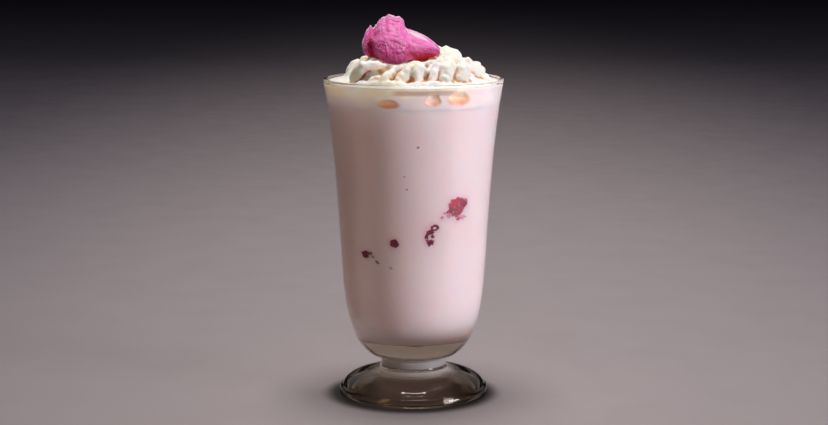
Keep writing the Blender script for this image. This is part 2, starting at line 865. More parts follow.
@dataclass
class PressedBits:
    """The bits of rose that touch the glass, each a thin flake that sinks into the milk at its edge."""

    glass: FootedGlass
    bits: tuple[Bit, ...] = (
        Bit(36.0, 100.0, 6.0, 4.6, BitKind.BLOTCH, 18.0, 0.22),
        Bit(41.6, 101.2, 2.6, 2.6, BitKind.BLOTCH, 0.0, 0.2),
        Bit(35.4, 96.6, 1.9, 3.8, BitKind.BLOTCH, 6.0, 0.25),
        Bit(30.0, 98.0, 3.0, 1.2, BitKind.BLOTCH, 24.0, 0.3, veil=0.15),
        Bit(28.3, 95.7, 0.9, 1.6, BitKind.FAINT, 20.0, 0.3, veil=0.1),
        Bit(39.6, 94.4, 3.6, 1.4, BitKind.FAINT, -8.0, 0.4, veil=0.35),
        Bit(22.5, 94.9, 0.7, 0.8, BitKind.FAINT, veil=0.1),
        Bit(24.6, 97.0, 0.6, 0.5, BitKind.FAINT, veil=0.2),
        Bit(12.6, 87.8, 1.9, 1.5, BitKind.CLOT, 15.0, 0.3),
        Bit(10.4, 85.9, 0.8, 1.5, BitKind.CLOT, 0.0, 0.3, veil=0.1),
        Bit(16.7, 89.9, 2.0, 1.7, BitKind.CLOT, 10.0, 0.18, hole=0.5),
        Bit(15.2, 85.8, 0.7, 1.1, BitKind.CLOT, 20.0, 0.3, veil=0.25),
        Bit(13.0, 82.9, 1.8, 1.3, BitKind.CLOT, -12.0, 0.35),
        Bit(10.6, 84.0, 0.9, 0.7, BitKind.FAINT, 0.0, 0.3, veil=0.15),
        Bit(-15.4, 82.3, 2.4, 2.2, BitKind.CLOT, 0.0, 0.14),
        Bit(-41.6, 75.7, 2.7, 1.6, BitKind.CLOT, -4.0, 0.3),
        Bit(-37.2, 76.3, 1.3, 0.8, BitKind.CLOT, 8.0, 0.3, veil=0.3),
        Bit(-34.4, 74.7, 1.0, 0.6, BitKind.SPECK, -30.0, 0.3, veil=0.4),
        Bit(-30.7, 72.3, 1.4, 0.7, BitKind.SPECK, -35.0, 0.3, veil=0.35),
        Bit(-18.7, 69.9, 1.2, 0.6, BitKind.SPECK, -40.0, 0.3, veil=0.5),
        Bit(3.2, 130.0, 0.6, 0.6, BitKind.SPECK, veil=0.4),
        Bit(-6.5, 115.5, 0.4, 0.35, BitKind.SPECK, veil=0.5),
        Bit(-4.9, 109.2, 0.7, 0.4, BitKind.SPECK, veil=0.45),
        Bit(128.0, 92.0, 4.2, 3.0, BitKind.BLOTCH, 30.0, 0.3),
        Bit(133.0, 88.4, 1.8, 1.5, BitKind.CLOT, 10.0, 0.3),
        Bit(176.0, 78.0, 2.4, 1.9, BitKind.CLOT, 15.0, 0.25),
        Bit(-152.0, 104.0, 1.6, 1.3, BitKind.CLOT, 0.0, 0.3),
        Bit(-148.0, 100.5, 2.4, 1.2, BitKind.FAINT, 30.0, 0.4, veil=0.2),
        Bit(-104.0, 84.0, 1.9, 1.6, BitKind.CLOT, -20.0, 0.25),
        Bit(94.0, 118.0, 0.7, 0.6, BitKind.SPECK, veil=0.1),
        Bit(-128.0, 66.0, 1.1, 0.7, BitKind.SPECK, 40.0, veil=0.2),
    )
    rings: int = 10
    spokes: int = 44
    swell: float = 1.12
    fringe: float = 0.25
    proud: float = 0.16
    sunk: float = 0.5
    rough: float = 0.05
    thin: float = 0.12
    under: float = -0.35

    def outline(self, bit: Bit, seed: float) -> list[Point2]:
        """The ragged edge of a flake, in millimetres across and up from its middle.

        Args:
            bit: Its size, turn and raggedness.
            seed: Where the noise is read.

        Returns:
            A point for each spoke.
        """
        turn = math.radians(bit.turn_deg)
        made = []
        for j in range(self.spokes):
            phi = 2 * math.pi * j / self.spokes
            wave = noise.noise(Vector((1.6 * math.cos(phi), 1.6 * math.sin(phi), seed)))
            fine = noise.noise(Vector((4.5 * math.cos(phi), 4.5 * math.sin(phi), seed + 9.0)))
            reach = 1.0 + bit.ragged * (1.5 * wave + 0.9 * fine)
            x = (bit.half_width * self.swell + self.fringe) * reach * math.cos(phi)
            y = (bit.half_height * self.swell + self.fringe) * reach * math.sin(phi)
            made.append((x * math.cos(turn) - y * math.sin(turn), x * math.sin(turn) + y * math.cos(turn)))
        return made

    def on_wall(self, bit: Bit, x: float, y: float, lift: float) -> Vector:
        """A point beside a bit's middle, lifted off the wall, in metres.

        Args:
            bit: The bit.
            x: Millimetres across from its middle, along the wall.
            y: Millimetres up from it.
            lift: Millimetres outwards from the wall.

        Returns:
            The point.
        """
        wall = float(self.glass.wall_radius(bit.height + y))
        out = outward(bit.azimuth + math.degrees(x / wall))
        return (out * (wall + lift) + Vector((0.0, 0.0, bit.height + y))) * MM

    def flake(self, mesh: bmesh.types.BMesh, bit: Bit, seed: float) -> list[float]:
        """Adds one flake to a mesh.

        Args:
            mesh: The mesh that takes it.
            bit: Its place, size and kind.
            seed: Where its noise is read.

        Returns:
            The veil of each new vertex, in order.
        """
        outline = self.outline(bit, seed)
        veils: list[float] = []
        layers = []
        for below in (False, True):
            rows = []
            for i in range(self.rings + 1):
                share = max(i / self.rings, 0.02)
                sink = (self.proud + self.sunk) * float(smoothstep(0.8, 1.0, share))
                row = []
                for x, y in ((share * a, share * b) for a, b in outline):
                    lift = self.proud - sink + self.rough * noise.noise(Vector((x, y, seed + 3.0)))
                    if below:
                        lift = min(lift - self.thin, self.under)
                    row.append(mesh.verts.new(self.on_wall(bit, x, y, lift)))
                rows.append(row)
                hole = 1.4 * bit.hole * (1.0 - float(smoothstep(0.15, 0.5, share)))
                veils += [min(1.0, bit.veil + hole + float(smoothstep(0.6, 1.0, share)))] * self.spokes
            mesh.faces.new(rows[0])
            for near, far in zip(rows, rows[1:]):
                bridge(mesh, near, far)
            layers.append(rows)
        bridge(mesh, layers[0][-1], layers[1][-1])
        return veils

    def build(self) -> list[bpy.types.Object]:
        """Makes one piece for each kind of bit.

        Returns:
            The finished pieces.
        """
        made = []
        for kind in BitKind:
            mesh = bmesh.new()
            veils: list[float] = []
            for i, bit in enumerate(self.bits):
                if bit.kind is kind:
                    veils += self.flake(mesh, bit, 5.3 + 7.1 * i)
            bmesh.ops.recalc_face_normals(mesh, faces=mesh.faces)
            piece = piece_from("rose_bits_" + kind.value, mesh, 180.0)
            store(piece, "veil", np.array(veils))
            dress(piece, BIT_FINISHES[kind].material(), "petal")
            made.append(piece)
        return made


# ---- the drink ------------------------------------------------------------------------------------------
@dataclass
class Milkshake:
    """The pink milk, which reaches just into the wall of the glass."""

    glass: FootedGlass
    bits: PressedBits
    level: float = 148.0
    grown: float = 0.08
    segments: int = 192
    rows: int = 60
    froth_side: Point2 = (-45.0, 60.0)
    froth_depths: Point2 = (3.4, 1.4)
    froth_share: float = 0.3
    bleed: float = 1.6
    finish: PinkMilk = PinkMilk()

    def section(self) -> list[Point2]:
        """The drink's closed section, from the middle of its level round to the middle of its floor.

        Returns:
            The points in order, in millimetres.
        """
        wall = [p for p in self.glass.inner(self.rows, self.grown) if p[1] < self.level - 0.8]
        edge = float(self.glass.wall_radius(self.level, self.grown))
        across = [(edge * i / 12.0, self.level) for i in range(13)]
        return across + wall

    def mark(self, piece: bpy.types.Object) -> None:
        """Keeps where froth lies against the glass, deeper on one side, and where rose has bled.

        Args:
            piece: The drink.
        """
        points = points_of(piece)
        angles = azimuths_of(points)
        wavy = noise_at(points * (1.0, 1.0, 0.4), 0.16) * 2.2 + noise_at(points, 0.5, 4.0) * 0.8
        middle, half = self.froth_side
        depth = np.where(np.abs(angles - middle) < half, *self.froth_depths)
        froth = smoothstep(self.level - depth - 1.0, self.level + 0.8, points[:, 2] + wavy)
        store(piece, "froth", froth * self.froth_share)
        stain = np.zeros(len(points))
        for bit in self.bits.bits:
            if bit.kind is BitKind.SPECK:
                continue
            across = turned_from(angles, bit.azimuth) * float(self.glass.wall_radius(bit.height))
            gap = np.hypot(across / (bit.half_width + self.bleed),
                           (points[:, 2] - bit.height) / (bit.half_height + self.bleed))
            stain = np.maximum(stain, (0.5 - bit.veil) * (1.0 - smoothstep(0.55, 1.25, gap)))
        store(piece, "stain", np.clip(stain, 0.0, 1.0))

    def build(self) -> bpy.types.Object:
        """Makes the drink and sets it in the place of its plain solid.

        Returns:
            The finished piece.
        """
        piece = turned("pink_milkshake", self.section(), self.segments)
        self.mark(piece)
        dress(piece, self.finish.material(), "milkshake", "milkshake")
        return piece


# ---- the rose petal -------------------------------------------------------------------------------------
@dataclass(frozen=True)
class Fold:
    """A fold that runs up the petal: its place across it, its half width and its depth in millimetres."""

    place: float
    half_width: float
    depth: float

    def at(self, u: float) -> float:
        """How deep the fold is at a place across the petal."""
        return self.depth * float(bell(u, self.place, self.half_width))


@dataclass
class RosePetal:
    """One crumpled petal, worked out as a thin solid over a curved middle surface.

    A place on it is u across, from 0 at its left to 1 at its right, and v up, from 0 at its lower edge to 1.
    """

    lower: tuple[Point3, ...] = (
        (-24.6, -15.0, 173.8), (-21.8, -18.5, 171.8), (-17.2, -21.5, 171.2), (-12.6, -25.0, 169.2),
        (-6.6, -26.5, 169.2), (-1.0, -26.0, 171.0), (4.0, -25.0, 169.8), (8.8, -22.5, 171.4),
        (12.8, -18.5, 173.2),
    )
    upper: tuple[Point3, ...] = (
        (-25.2, -15.0, 178.4), (-24.0, -13.0, 181.8), (-21.8, -11.0, 186.2), (-19.6, -9.5, 185.6),
        (-16.4, -7.5, 189.6), (-12.6, -6.5, 191.5), (-7.9, -6.5, 190.9), (-5.2, -7.0, 189.2),
        (-3.9, -8.5, 185.4), (0.7, -10.5, 183.8), (5.6, -12.0, 181.6), (10.4, -14.5, 178.4),
        (12.9, -17.0, 175.8),
    )
    bulge: float = 4.0
    left_valley: Fold = Fold(0.17, 0.075, 3.4)
    right_valley: Fold = Fold(0.62, 0.07, 1.4)
    curled_lip: Fold = Fold(0.45, 0.16, 1.6)
    curls_from: float = 0.82
    tucked_edge: Fold = Fold(0.78, 0.14, 5.0)
    tucks_to: float = 0.3
    sway: float = 0.9
    thickness: float = 0.5
    edge_thickness: float = 0.18
    thins_over: float = 1.3
    columns: int = 200
    rows: int = 130
    finish: VelvetPetal = VelvetPetal()

    def middle(self, u: float, v: float, fine: bool = True) -> Vector:
        """A point of the petal's middle surface.

        Args:
            u: The place across it.
            v: The place up it.
            fine: Whether the small creases are there too.

        Returns:
            The point in millimetres.
        """
        here = Vector(spline(self.lower, u)).lerp(Vector(spline(self.upper, u)), v)
        side = math.sin(math.pi * min(max(u, 0.02), 0.98)) ** 0.5
        here.y -= self.bulge * 4.0 * v * (1.0 - v) * side
        here.y += self.left_valley.at(u) * (1.0 - 0.75 * v) + self.right_valley.at(u) * v
        here.y -= self.curled_lip.at(u) * max(0.0, (v - self.curls_from) / (1.0 - self.curls_from)) ** 2
        here.y += self.tucked_edge.at(u) * max(0.0, 1.0 - v / self.tucks_to) ** 1.6
        here.y += self.sway * noise.noise(Vector((u * 8.0, v * 4.5, 0.7)))
        if fine:
            here.y += self.crumple(u, v)
            here.z += self.ragged(u) * v ** 3
        return here

    @staticmethod
    def ragged(u: float) -> float:
        """How far the torn upper edge stands out at a place across the petal.

        Args:
            u: The place across it.

        Returns:
            How far it stands up, in millimetres.
        """
        torn = float(bell(u, 0.3, 0.22))
        coarse = noise.noise(Vector((u * 22.0, 2.0, 5.0)))
        fine = noise.noise(Vector((u * 70.0, 4.0, 5.0)))
        return (0.25 + 0.75 * torn) * (1.1 * coarse + 0.5 * fine)

    @staticmethod
    def crumple(u: float, v: float) -> float:
        """The small creases: fans of fine folds low down, level wrinkles near the top, a soft dimpling.

        Args:
            u: The place across it.
            v: The place up it.

        Returns:
            How far they stand back, in millimetres.
        """
        fan = noise.noise(Vector((u * 34.0 + 2.0 * v, v * 5.0, 11.0)))
        low = float(bell(v, 0.3, 0.26))
        ridge = (1.0 - abs(fan)) ** 3
        top = float(bell(v, 0.9, 0.1) * bell(u, 0.42, 0.2))
        level = noise.noise(Vector((u * 6.0, v * 26.0, 3.0)))
        dimple = noise.noise(Vector((u * 60.0, v * 34.0, 8.0)))
        wide = noise.noise(Vector((u * 11.0 + 4.0 * v, v * 7.0, 21.0)))
        return 0.5 * low * ridge + 0.8 * top * level + 0.12 * dimple + 0.7 * (1.0 - 2.0 * abs(wide)) * v

    def thinned(self, rows: int, columns: int) -> np.ndarray:
        """How thick the petal is near its edge, as a share of its thickness, for a grid of places.

        Args:
            rows: Stretches up.
            columns: Stretches across.

        Returns:
            The share at each place, row by row.
        """
        i, j = np.indices((rows + 1, columns + 1))
        inset = np.minimum(np.minimum(i, rows - i) / rows * 16.0, np.minimum(j, columns - j) / columns * 38.0)
        share = self.edge_thickness / self.thickness
        return share + (1.0 - share) * np.sqrt(np.clip(inset / self.thins_over, 0.0, 1.0))

    def solid(self, name: str, front: float, back: float, columns: int, rows: int, grown: float = 1.0,
              straight: bool = False, fine: bool = False) -> bpy.types.Object:
        """The petal between two offsets of its middle surface.

        Args:
            name: The object's name.
            front: The offset in front of the middle surface.
            back: The offset behind it.
            columns: Stretches across.
            rows: Stretches up.
            grown: Its growth about its middle.
            straight: Whether the offsets go along -Y and not along the normals.
            fine: Whether it has the small creases and the thin edge.

        Returns:
            The new object.
        """
        grid = np.array([[self.middle(j / columns, i / rows, fine) for j in range(columns + 1)]
                         for i in range(rows + 1)])
        normal = np.cross(np.gradient(grid, axis=1), np.gradient(grid, axis=0))
        normal /= np.linalg.norm(normal, axis=2, keepdims=True)
        if straight:
            normal = np.broadcast_to(np.array((0.0, -1.0, 0.0)), grid.shape)
        centre = np.array(self.middle(0.5, 0.5, fine))
        grid = centre + (grid - centre) * grown
        thin = self.thinned(rows, columns) if fine else np.ones(grid.shape[:2])
        mesh = bmesh.new()
        skins = [(grid + normal * (offset * thin)[..., None]) * MM for offset in (front, -back)]
        outer, inner = ([[mesh.verts.new(p) for p in row] for row in skin] for skin in skins)
        for i in range(rows):
            for j in range(columns):
                for skin, order in ((outer, 1), (inner, -1)):
                    a, b, c, d = skin[i][j], skin[i][j + 1], skin[i + 1][j + 1], skin[i + 1][j]
                    mesh.faces.new((a, b, c)[::order])
                    mesh.faces.new((a, c, d)[::order])
        border = [(0, j) for j in range(columns)] + [(i, columns) for i in range(rows)]
        border += [(rows, j) for j in range(columns, 0, -1)] + [(i, 0) for i in range(rows, 0, -1)]
        bridge(mesh, [inner[i][j] for i, j in border], [outer[i][j] for i, j in border])
        bmesh.ops.recalc_face_normals(mesh, faces=mesh.faces)
        return piece_from(name, mesh, 180.0)

    def mark(self, piece: bpy.types.Object) -> None:
        """Keeps where the petal folds, tucks in, is veined, and thins to its pale rim.

        Args:
            piece: The petal.
        """
        v, u = np.meshgrid(np.linspace(0, 1, self.rows + 1), np.linspace(0, 1, self.columns + 1), indexing="ij")
        u, v = u.ravel(), v.ravel()
        rag = noise_at(np.stack((u * 9.0, v * 7.0, np.full(len(u), 2.0)), axis=1), 1.0)
        fine = noise_at(np.stack((u * 46.0, v * 20.0, np.full(len(u), 6.0)), axis=1), 1.0)
        valley = bell(u, 0.165 + 0.03 * rag, 0.06) * (1.0 - smoothstep(0.5, 0.8, v + 0.1 * rag))
        belly = bell(u, 0.42, 0.24) * (1.0 - smoothstep(0.02, 0.3, v + 0.07 * rag))
        right = bell(u, 0.84, 0.13) * (1.0 - smoothstep(0.35, 0.6, v + 0.12 * rag))
        notch = 0.45 * bell(u, 0.24, 0.03) * bell(v, 0.72, 0.14)
        fold = np.clip(valley + 0.8 * belly + 0.85 * right + notch, 0.0, 1.0)
        tuck = bell(u, 0.78, 0.17, 4) * (1.0 - smoothstep(0.2, 0.32, v + 0.05 * rag))
        vein = np.clip(bell(v, 0.3, 0.16) * smoothstep(0.2, 0.32, u) * (0.5 + 1.3 * fine), 0.0, 1.0)
        shine = bell(u, 0.69 + 0.6 * (1.0 - v), 0.085, 4) * bell(v, 0.87, 0.08, 4)
        edge = (0.7 + 0.6 * bell(u, 0.22, 0.09)) * smoothstep(0.95, 0.985, v)
        rim = np.clip(1.0 - smoothstep(0.0, 0.04, u) + edge + 0.95 * shine, 0.0, 1.0)
        for name, values in (("fold", fold), ("tuck", tuck), ("vein", vein), ("rim", rim)):
            store(piece, name, np.concatenate((values, values)))

    def build(self) -> bpy.types.Object:
        """Makes the petal and sets it in the place of its plain solid.

        Returns:
            The finished piece.
        """
        half = self.thickness / 2
        piece = self.solid("crumpled_petal", half, half, self.columns, self.rows, fine=True)
        self.mark(piece)
        dress(piece, self.finish.material(), "petal", "rose_petal")
        return piece


# ---- the whipped cream ----------------------------------------------------------------------------------
@dataclass(frozen=True)
class Lobe:
    """A rounded lobe of cream: the points of its spine, and its radius at those points."""

    spine: tuple[Point3, ...]
    radii: tuple[float, ...]


@dataclass(frozen=True)
class AirPocket:
    """An oval hollow between the cream and the glass, with its depth and how pale it is, from 0 to 1."""

    azimuth: float
    height: float
    half_width: float
    half_height: float
    pale: float = 0.0
    depth: float = 2.6


@dataclass
class WhippedCream:
    """Cream piped into the rim: a bed, a folded rope wound up on it, and lobes pressed out of the rope.

    The dive is the height under which its side leaves the wall, and how far it does for each millimetre down. The
    rope's radius, height and thickness are those of its outer and inner end, and its wander, swell and turning are
    each a noise's scale and strength. The wander's noise has a seed, which Blender would else take from the clock.
    The pale patch is an azimuth, a height, and half sizes in degrees and millimetres. A crease scale is a number of
    smoothing rounds and the depth that counts as full after them.
    """

    glass: FootedGlass
    petal: RosePetal
    bottom: float = 146.0
    dive: Point2 = (147.9, 0.1)
    edge_height: float = 159.2
    middle_height: float = 171.0
    rope_turns: float = 2.7
    outer_turns: float = 0.8
    rope_radius: Point2 = (27.0, 3.0)
    rope_height: Point2 = (161.6, 171.8)
    rope_thickness: Point2 = (6.0, 4.8)
    rope_start_deg: float = -150.0
    rope_folds: int = 5
    rope_twist: float = 0.25
    rope_wander: Point2 = (0.09, 1.4)
    wander_seed: int = 1795468658
    rope_swell: Point2 = (0.12, 0.16)
    rope_turning: Point2 = (0.07, 1.6)
    rope_ends: Point2 = (0.025, 0.1)
    fold_depth: float = 0.4
    grown: float = 0.1
    voxel: float = 0.5
    smoothing: int = 2
    press_reach: float = 0.7
    press_to: float = 159.6
    petal_gap: Point2 = (0.7, 0.45)
    petal_room: float = 6.0
    petal_grid: tuple[int, int] = (24, 13)
    petal_grown: Point2 = (1.03, 1.02)
    lumps_from: Point2 = (159.4, 163.0)
    ripples_from: Point2 = (158.6, 161.0)
    soaked_to: float = 152.6
    soaked_more: float = 4.4
    pale_patch: tuple[float, float, float, float] = (-34.0, 150.6, 6.5, 2.4)
    shade_share: float = 0.8
    blushes: tuple[tuple[Point3, float], ...] = (
        ((21.5, -27.0, 164.6), 2.0), ((33.5, -13.0, 165.6), 3.0), ((16.0, -14.0, 173.0), 2.2),
    )
    blush_share: float = 0.5
    crease_scales: tuple[tuple[int, float], ...] = ((8, 0.22), (25, 0.5), (60, 0.95), (130, 1.5))
    lobes: tuple[Lobe, ...] = (
        Lobe(((-31.6, -9.0, 156.8), (-27.2, -8.5, 163.4), (-24.0, -7.5, 170.8)), (3.8, 3.2, 1.7)),
        Lobe(((-29.0, -21.0, 160.0), (-26.6, -23.0, 165.0), (-22.4, -25.0, 168.0), (-17.2, -26.0, 168.7),
              (-13.2, -26.5, 167.0)), (3.0, 3.2, 2.9, 2.5, 1.6)),
        Lobe(((-21.2, -31.0, 159.2), (-18.6, -31.0, 161.8), (-16.0, -30.4, 163.6)), (2.6, 2.3, 1.7)),
        Lobe(((-15.4, -35.0, 160.2), (-12.4, -33.0, 163.8), (-7.6, -28.0, 167.8)), (2.0, 2.4, 1.9)),
        Lobe(((-6.6, -36.3, 160.6), (-4.4, -34.0, 164.2), (0.2, -28.5, 168.8)), (1.9, 2.3, 2.0)),
        Lobe(((1.4, -34.6, 159.6), (2.2, -32.4, 164.6), (3.0, -27.6, 168.2)), (2.8, 3.4, 3.0)),
        Lobe(((8.6, -34.0, 161.6), (9.2, -32.5, 165.0), (11.2, -28.0, 168.6)), (1.5, 2.2, 2.0)),
        Lobe(((14.4, -33.0, 159.4), (15.6, -29.0, 165.2), (17.4, -23.0, 169.6)), (3.4, 4.2, 3.3)),
        Lobe(((23.4, -27.0, 160.0), (23.4, -22.5, 165.0), (21.4, -16.0, 169.6)), (3.6, 4.2, 3.4)),
        Lobe(((36.6, -8.0, 159.0), (30.2, -10.0, 163.8), (23.0, -11.0, 168.8)), (3.0, 3.6, 3.4)),
        Lobe(((13.2, -12.5, 171.8), (15.2, -13.6, 174.0)), (3.0, 2.2)),
        Lobe(((-27.5, -28.0, 158.6), (-15.5, -35.6, 159.0), (0.0, -38.4, 159.0), (11.5, -36.6, 158.8),
              (19.5, -33.0, 158.6)), (2.2, 2.5, 2.3, 2.6, 1.9)),
    )
    pockets: tuple[AirPocket, ...] = (
        AirPocket(-16.5, 151.0, 4.6, 1.9, 0.0, 1.3),
        AirPocket(13.0, 152.9, 3.6, 2.7, 0.4, 1.4),
        AirPocket(31.2, 153.2, 5.2, 2.9, 0.15, 1.6),
        AirPocket(104.0, 152.2, 4.4, 2.2),
        AirPocket(128.0, 151.0, 5.2, 1.8),
        AirPocket(158.0, 152.8, 4.8, 2.7),
        AirPocket(-104.0, 151.6, 4.2, 2.0),
        AirPocket(-130.0, 152.8, 5.4, 2.5),
        AirPocket(-160.0, 151.0, 4.4, 1.8),
    )
    finish: PipedCream = PipedCream()

    def tube(self, mesh: bmesh.types.BMesh, rings: Sequence[Sequence[Vector]]) -> None:
        """Adds a closed tube through rings of points in millimetres.

        Args:
            mesh: The mesh that takes it.
            rings: Rings with as many points each.
        """
        made = [[mesh.verts.new(p * MM) for p in ring] for ring in rings]
        for near, far in zip(made, made[1:]):
            bridge(mesh, near, far)
        mesh.faces.new(made[0][::-1])
        mesh.faces.new(made[-1])

    def rope_end(self, t: float) -> float:
        """How thick the rope is near its ends, as a share: round at the first, drawn out at the last.

        Args:
            t: The place along it, from 0 to 1.

        Returns:
            The share, from 0 to 1.
        """
        first, last = self.rope_ends
        if t < first:
            return math.sqrt(max(0.0, 1.0 - (1.0 - t / first) ** 2))
        return min(1.0, ((1.0 - t) / last) ** 0.6)

    def add_rope(self, mesh: bmesh.types.BMesh, steps: int = 760, sides: int = 60) -> None:
        """Adds the folded rope, a star section that turns as it winds in and up.

        Args:
            mesh: The mesh that takes it.
            steps: Stretches along it.
            sides: Points of its section.
        """
        noise.seed_set(self.wander_seed)
        rings = []
        length = 0.0
        before = None
        up = Vector((0.0, 0.0, 1.0))
        for i in range(steps + 1):
            t = i / steps
            turn = self.rope_turns * t
            inward = max(0.0, (turn - self.outer_turns) / (self.rope_turns - self.outer_turns))
            angle = math.radians(self.rope_start_deg) + 2 * math.pi * turn
            out = Vector((math.cos(angle), math.sin(angle), 0.0))
            reach = self.rope_radius[0] + (self.rope_radius[1] - self.rope_radius[0]) * inward ** 0.9
            rise = self.rope_height[0] + (self.rope_height[1] - self.rope_height[0]) * inward ** 0.7
            centre = out * reach + up * rise
            centre += noise.noise_vector(centre * self.rope_wander[0]) * self.rope_wander[1]
            length += (centre - before).length if before else 0.0
            before = centre
            thick = self.rope_thickness[0] + (self.rope_thickness[1] - self.rope_thickness[0]) * inward
            thick *= 1.0 + self.rope_swell[1] * noise.noise(centre * self.rope_swell[0])
            thick *= self.rope_end(t)
            turning = noise.noise(Vector((length * self.rope_turning[0], 3.1, 0.0)))
            turned_by = self.rope_twist * length + self.rope_turning[1] * turning
            ring = []
            for j in range(sides):
                phi = 2 * math.pi * j / sides
                fold = abs(math.cos(0.5 * self.rope_folds * (phi - turned_by)))
                r = max(thick, 0.05) * (1.0 + self.fold_depth * (fold ** 0.7 - 0.75))
                ring.append(centre + (out * math.cos(phi) + up * math.sin(phi)) * r)
            rings.append(ring)
        self.tube(mesh, rings)

    def add_lobe(self, mesh: bmesh.types.BMesh, lobe: Lobe, steps: int = 36, sides: int = 28) -> None:
        """Adds one rounded lobe along its spine.

        Args:
            mesh: The mesh that takes it.
            lobe: The lobe.
            steps: Stretches along it.
            sides: Points round it.
        """
        rings = []
        widths = [(r,) for r in lobe.radii]
        length = sum((Vector(b) - Vector(a)).length for a, b in zip(lobe.spine, lobe.spine[1:]))
        for i in range(steps + 1):
            t = 0.5 - 0.5 * math.cos(math.pi * i / steps)
            here = Vector(spline(lobe.spine, t))
            along = (Vector(spline(lobe.spine, t + 0.02)) - Vector(spline(lobe.spine, t - 0.02))).normalized()
            side = along.cross(Vector((0.0, 0.0, 1.0))).normalized()
            over = side.cross(along)
            width = spline(widths, t)[0]
            end = min(t, 1.0 - t) / max(width / max(length, 1e-6) * 0.8, 1e-6)
            width *= math.sqrt(max(1.0 - (1.0 - min(end, 1.0)) ** 2, 0.0004))
            rings.append([here + (side * math.cos(a) + over * math.sin(a)) * width
                          for a in (2 * math.pi * j / sides for j in range(sides))])
        self.tube(mesh, rings)

    @staticmethod
    def around(spine: Sequence[Point2], azimuth: float, lean: float) -> tuple[Point3, ...]:
        """Turns a meridian of (radius, height) into points that lean along the mound as they rise.

        Args:
            spine: The meridian.
            azimuth: Where its foot stands.
            lean: Degrees that its top lies further on.

        Returns:
            The points.
        """
        made = []
        for i, (reach, rise) in enumerate(spine):
            out = outward(azimuth + lean * i / (len(spine) - 1)) * reach
            made.append((out.x, out.y, rise))
        return tuple(made)

    def ruffles(self) -> list[Lobe]:
        """The leaning lobes of the sides, the back and the crown, each a little unlike the next.

        Returns:
            The lobes, from the right round the back to the left.
        """
        rng = random.Random(7)
        made = []
        azimuth = 62.0
        while azimuth <= 290.0:
            grow = rng.uniform(0.8, 1.12)
            spine = [(r + rng.uniform(-0.9, 0.5), z + rng.uniform(-0.7, 0.5))
                     for r, z in ((32.6, 159.0), (29.6, 163.4), (24.6, 167.6))]
            lean = 9.0 * rng.uniform(0.5, 1.5)
            made.append(Lobe(self.around(spine, azimuth, lean), tuple(r * grow for r in (3.2, 3.9, 3.0))))
            azimuth += 14.0 * rng.uniform(0.8, 1.15)
        azimuth = 62.0
        while azimuth <= 290.0:
            spine = [(r + rng.uniform(-1.0, 0.6), z + rng.uniform(-0.6, 0.4))
                     for r, z in ((22.4, 167.0), (20.2, 170.6), (14.6, 172.8))]
            grow = rng.uniform(0.84, 1.1)
            lean = 20.0 * rng.uniform(0.6, 1.4)
            made.append(Lobe(self.around(spine, azimuth, lean), tuple(r * grow for r in (2.8, 3.6, 2.6))))
            azimuth += 22.0 * rng.uniform(0.8, 1.15)
        return made

    def bed(self) -> list[Point2]:
        """The section of the cream that fills the rim, down to the drink.

        Returns:
            The points in order, in millimetres.
        """
        heights = (self.bottom, 150.0, 152.0, 154.0, 156.0, self.edge_height - 1.0)
        side = [(float(self.glass.wall_radius(z, self.grown)), z) for z in heights]
        edge = side[-1][0]
        rise = self.edge_height
        shoulder = bezier((side[-1], (edge, rise), (39.5, rise), (36.5, 160.2)), 10)
        top = self.middle_height
        crown = bezier((shoulder[-1], (30.0, 163.0), (17.0, top), (0.0, top)), 24)
        return [(0.0, self.bottom)] + side + shoulder + crown

    def fused(self, piece: bpy.types.Object) -> None:
        """Gives the piece one even skin and smooths it a little.

        Args:
            piece: The piece.
        """
        remesh = piece.modifiers.new("fuse", "REMESH")
        remesh.mode = "VOXEL"
        remesh.voxel_size = self.voxel * MM
        remesh.adaptivity = 0.0
        soften = piece.modifiers.new("soften", "SMOOTH")
        soften.factor = 0.5
        soften.iterations = self.smoothing
        applied(piece)

    def lump(self, piece: bpy.types.Object) -> None:
        """Makes the piped folds uneven, as if each were pressed out in its own way.

        Args:
            piece: The cream.
        """
        points = points_of(piece)
        free = smoothstep(*self.lumps_from, points[:, 2])
        swell = noise_at(points * (1.0, 1.0, 0.7), 0.13, 1.0) * 1.5 + noise_at(points, 0.3, 6.0) * 0.8
        points += normals_of(piece) * (free * swell)[:, None]
        shove = np.stack([noise_at(points, 0.11, shift) for shift in (11.0, 23.0, 37.0)], axis=1)
        move_points(piece, points + shove * (free * 1.3)[:, None])

    def hollow(self, pocket: AirPocket) -> bpy.types.Object:
        """The solid that clears one air pocket.

        Args:
            pocket: The pocket.

        Returns:
            The solid.
        """
        mesh = bmesh.new()
        out = outward(pocket.azimuth)
        reach = float(self.glass.wall_radius(pocket.height))
        size = Matrix.Diagonal((pocket.depth * MM, pocket.half_width * MM, pocket.half_height * MM, 1.0))
        place = Matrix.Translation((out * reach + Vector((0.0, 0.0, pocket.height))) * MM)
        turn = Matrix.Rotation(math.radians(pocket.azimuth - 90.0), 4, "Z")
        bmesh.ops.create_icosphere(mesh, subdivisions=4, radius=1.0)
        for vert in mesh.verts:
            vert.co *= 1.0 + 0.3 * noise.noise(vert.co * 1.3 + Vector((pocket.azimuth, 0.0, 0.0)))
        mesh.transform(place @ turn @ size)
        return piece_from("hollow", mesh)

